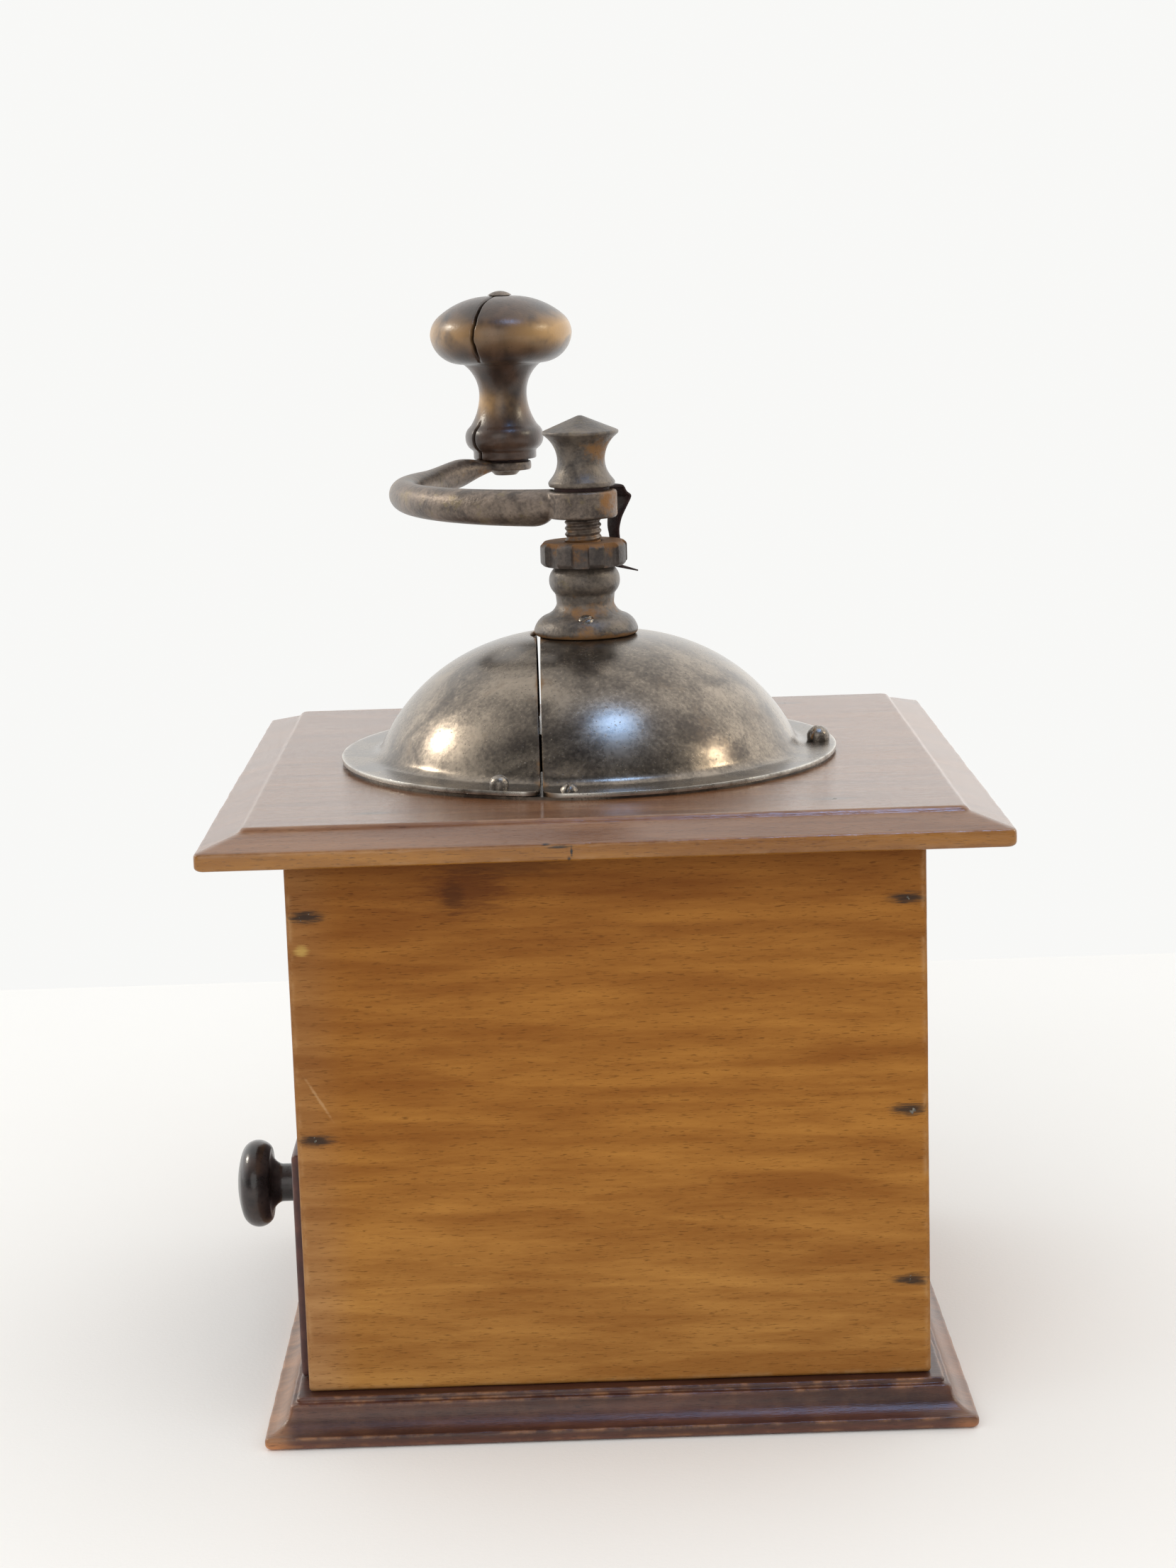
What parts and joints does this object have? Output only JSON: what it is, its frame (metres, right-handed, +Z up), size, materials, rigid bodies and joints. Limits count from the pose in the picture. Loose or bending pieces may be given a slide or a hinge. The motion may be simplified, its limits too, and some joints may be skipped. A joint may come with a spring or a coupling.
{
  "type": "hand crank coffee grinder",
  "caption": "Wooden box coffee mill with a steel dome hopper and swinging lid, a curved iron crank with a turned wooden knob, and a drawer for the ground coffee.",
  "frame": {"origin": "middle of the underside of the base plate", "axes": "+Z up, -X the way the drawer opens, -Y the side that faces the camera"},
  "size_m": [0.1644, 0.1743, 0.2292],
  "materials": {
    "nail_iron": "dark rusted heads",
    "screw_steel": "worn steel",
    "panel_wood": "old satin varnish, warm orange brown",
    "board_wood": "greyed satin varnish",
    "base_wood": "dark stained and worn",
    "drawer_front_wood": "dark maroon stain",
    "drawer_knob_wood": "glossy black brown",
    "drawer_box_wood": "bare wood",
    "dome_steel": "dark polished steel with a brown patina",
    "crank_knob_wood": "turned, dark patina worn amber at the rim",
    "cast_iron": "bare iron with rust in the hollows",
    "forged_iron": "forged iron, brown grey, rubbed bright"
  },
  "bodies": {
    "case": {"back_panel": "panel_wood", "base_plate": "base_wood", "base_screw_far_back": "screw_steel", "base_screw_far_front": "screw_steel", "base_screw_near_back": "screw_steel", "base_screw_near_front": "screw_steel", "bearing_collar": "cast_iron", "board_nail_far_back": "nail_iron", "board_nail_far_front": "nail_iron", "board_nail_near_back": "nail_iron", "board_nail_near_front": "nail_iron", "burr_ring": "cast_iron", "collar_screw_far": "screw_steel", "collar_screw_near": "screw_steel", "dome_screw_back": "screw_steel", "dome_screw_far": "screw_steel", "dome_screw_near": "screw_steel", "dome_shell": "dome_steel", "front_panel": "panel_wood", "hopper_funnel": "dome_steel", "lid_pivot": "screw_steel", "lower_yoke": "cast_iron", "ring_screw_1": "screw_steel", "ring_screw_2": "screw_steel", "ring_screw_3": "screw_steel", "side_nail_far_1": "nail_iron", "side_nail_far_2": "nail_iron", "side_nail_far_3": "nail_iron", "side_nail_far_4": "nail_iron", "side_nail_far_5": "nail_iron", "side_nail_near_1": "nail_iron", "side_nail_near_2": "nail_iron", "side_nail_near_3": "nail_iron", "side_nail_near_4": "nail_iron", "side_nail_near_5": "nail_iron", "side_panel_far": "panel_wood", "side_panel_near": "panel_wood", "top_board": "board_wood", "yoke_screw_far": "screw_steel", "yoke_screw_near": "screw_steel"},
    "drawer": {"drawer_back": "drawer_box_wood", "drawer_floor": "drawer_box_wood", "drawer_front": "drawer_front_wood", "drawer_knob": "drawer_knob_wood", "drawer_side_far": "drawer_box_wood", "drawer_side_near": "drawer_box_wood"},
    "lid": {"dome_lid": "dome_steel"},
    "nut": {"adjusting_nut": "forged_iron"},
    "spindle": {"spindle": "forged_iron", "burr_cone": "cast_iron", "burr_pin": "forged_iron", "click_spring": "forged_iron", "crank_arm": "forged_iron", "finial_nut": "forged_iron", "knob_pin": "forged_iron", "knob_washer": "forged_iron"},
    "knob": {"crank_knob": "crank_knob_wood"}
  },
  "joints": [
    {"name": "crank_turn", "type": "hinge", "parent": "case", "child": "nut", "pos_m": [-0.002, 0, 0.1713], "axis": [0, 0, 1], "continuous": true},
    {"name": "grind_adjust", "type": "slide", "parent": "nut", "child": "spindle", "axis": [0, 0, 1], "range_m": [0, 0.0012]},
    {"name": "knob_spin", "type": "hinge", "parent": "spindle", "child": "knob", "pos_m": [-0.01991, 0.07725, 0.1891], "axis": [0, 0, 1], "continuous": true},
    {"name": "drawer_slide", "type": "slide", "parent": "case", "child": "drawer", "axis": [-1, 0, 0], "range_m": [0, 0.095]},
    {"name": "lid_swing", "type": "hinge", "parent": "case", "child": "lid", "pos_m": [-0.021, -0.04668, 0.1305], "axis": [0, 0, 1], "range_deg": [-0.4, 100]}
  ]
}
